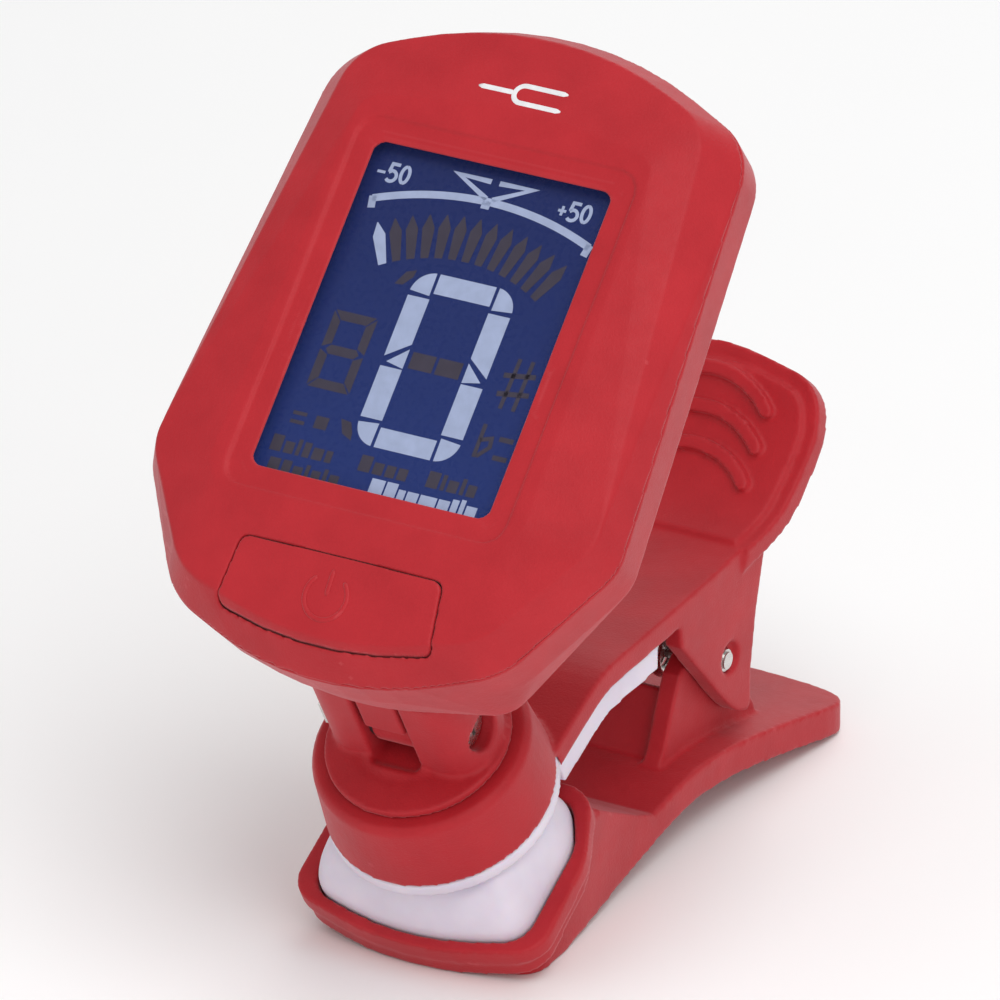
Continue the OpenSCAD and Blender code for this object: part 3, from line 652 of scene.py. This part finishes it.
def power_mark():
    """Raised power symbol on the button."""
    skin = skin_of("power_button_moulded")
    u, v, radius = -0.2, -22.0, 1.75
    width, height = 0.42, 0.13
    ring = arc_points(u, v, radius, 130, 410, 36)
    stroke = straight(u, v + 0.1, 0, 0.25, 9)
    for name, path in (("power_ring", ring), ("power_stroke", stroke)):
        add_object(name, raised(name, path, width, height, skin), "button", RED)


def fork_mark():
    """Painted tuning-fork sign that lies across the band above the window."""
    skin = skin_of("front_shell_moulded")
    u, v, half_gap, step = -0.4, 19.4, 0.75, 0.35
    width, height = 0.5, 0.05
    tines = straight(u + 4.0, v + half_gap, -step, 0, 10)
    tines += arc_points(u + 0.5, v, half_gap, 90, 270, 12)
    tines += straight(u + 0.85, v - half_gap, step, 0, 10)
    stem = straight(u - 0.2, v, -step, 0, 10)
    for name, path in (("fork_tines", tines), ("fork_stem", stem)):
        add_object(name, raised(name, path, width, height, skin), "head", PRINT)


power_mark()
fork_mark()

# ---------------------------------------------------------------- spring

# Wire radius, coil radius, turns and pitch, as the CAD spring has them
WIRE_R = 0.42
COIL_R = 2.1
COIL_TURNS = 4.55
COIL_PITCH = 1.0
COIL_START = math.radians(-52)
COIL_STEPS = 28
WIRE_SIDES = 14


def coil_point(turns):
    """Centre of the wire after a number of turns."""
    angle = COIL_START - 2 * math.pi * turns
    return Vector(((turns - COIL_TURNS / 2) * COIL_PITCH, PIN.y + COIL_R * math.cos(angle),
                   PIN.z + COIL_R * math.sin(angle)))


def tube(name, path, radius, body, material):
    """Closed round wire swept along a path given in millimetres."""
    sides = WIRE_SIDES
    bm = bmesh.new()
    rings = []
    for i, p in enumerate(path):
        t = (path[min(i + 1, len(path) - 1)] - path[max(i - 1, 0)]).normalized()
        u = Vector((1, 0, 0)).cross(t).normalized()
        w = t.cross(u)
        r = radius * (0.7 if i in (0, len(path) - 1) else 1.0)
        ring = []
        for k in range(sides):
            a = 2 * math.pi * k / sides
            ring.append(bm.verts.new((p + r * (math.cos(a) * u + math.sin(a) * w)) * MM))
        rings.append(ring)
    for r0, r1 in zip(rings, rings[1:]):
        for k in range(sides):
            bm.faces.new((r0[k], r0[(k + 1) % sides], r1[(k + 1) % sides], r1[k]))
    bm.faces.new(rings[0][::-1])
    bm.faces.new(rings[-1])
    bmesh.ops.recalc_face_normals(bm, faces=bm.faces)
    mesh = bpy.data.meshes.new(name)
    bm.to_mesh(mesh)
    bm.free()
    return add_object(name, mesh, body, material)


def spring():
    """Torsion spring: a coil about the pin and two legs between the arms."""
    start = coil_point(0)
    end = coil_point(COIL_TURNS)
    t0 = (coil_point(0.01) - coil_point(-0.01)).normalized()
    t1 = (coil_point(COIL_TURNS + 0.01) - coil_point(COIL_TURNS - 0.01)).normalized()
    path = [start - t0 * d for d in (7.2, 7.05, 5, 3, 1)]
    path += [coil_point(i / COIL_STEPS) for i in range(int(COIL_TURNS * COIL_STEPS) + 1)]
    path += [end + t1 * d for d in (1, 3, 4.85, 5)]
    obj = tube("spring_wire", path, WIRE_R, "lower_clip", STEEL)
    obj.parent = None
    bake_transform(obj)
    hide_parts("torsion_spring")


spring()

# ---------------------------------------------------------------- stage and camera

AZIMUTH = math.radians(29.8)
ELEVATION = math.radians(25.0)
TARGET = Vector((-1.13, 10.37, 20.52)) * MM
DISTANCE = 0.9

camera_data = bpy.data.cameras.new("camera")
camera_data.lens = 427.7
camera_data.sensor_width = 36
camera_data.clip_start = 0.05
camera = bpy.data.objects.new("camera", camera_data)
bpy.context.scene.collection.objects.link(camera)
bpy.context.scene.camera = camera
level = math.cos(ELEVATION)
back = Vector((math.sin(AZIMUTH) * level, -math.cos(AZIMUTH) * level, math.sin(ELEVATION)))
camera.location = TARGET + back * DISTANCE
camera.rotation_euler = (math.pi / 2 - ELEVATION, 0, AZIMUTH)

world = bpy.data.worlds.new("world")
world.use_nodes = True
world.node_tree.nodes["Background"].inputs["Color"].default_value = (1, 1, 1, 1)
world.node_tree.nodes["Background"].inputs["Strength"].default_value = 0.5
bpy.context.scene.world = world
bpy.context.scene.view_settings.view_transform = "Standard"


LIGHT_DISTANCE = 0.5


def area_light(name, direction, size, power):
    """Round soft light that shines on the object from a direction."""
    data = bpy.data.lights.new(name, "AREA")
    data.shape = "DISK"
    data.size = size
    data.energy = power
    obj = bpy.data.objects.new(name, data)
    obj.location = TARGET + Vector(direction).normalized() * LIGHT_DISTANCE
    obj.rotation_euler = (TARGET - obj.location).to_track_quat("-Z", "Y").to_euler()
    bpy.context.scene.collection.objects.link(obj)


area_light("key", (0.35, -0.3, 1.0), 0.4, 1.2)
area_light("fill", (1.0, -0.6, 0.4), 0.4, 0.6)
area_light("front", (-0.7, -1.0, 0.25), 0.5, 0.35)
area_light("rear", (-0.2, 1.0, 0.8), 0.4, 0.6)

floor_mesh = bpy.data.meshes.new("floor")
FLOOR_HALF = 3.0
corners = [(x * FLOOR_HALF, y * FLOOR_HALF, cad_box[0][2]) for x, y in ((-1, -1), (1, -1), (1, 1), (-1, 1))]
floor_mesh.from_pydata(corners, [], [(0, 1, 2, 3)])
floor = bpy.data.objects.new("floor", floor_mesh)
bpy.context.scene.collection.objects.link(floor)
floor_mesh.materials.append(plain("floor_pale", (0.93, 0.93, 0.93), (0.96, 0.96, 0.96), 0.8, 20, 0.0))
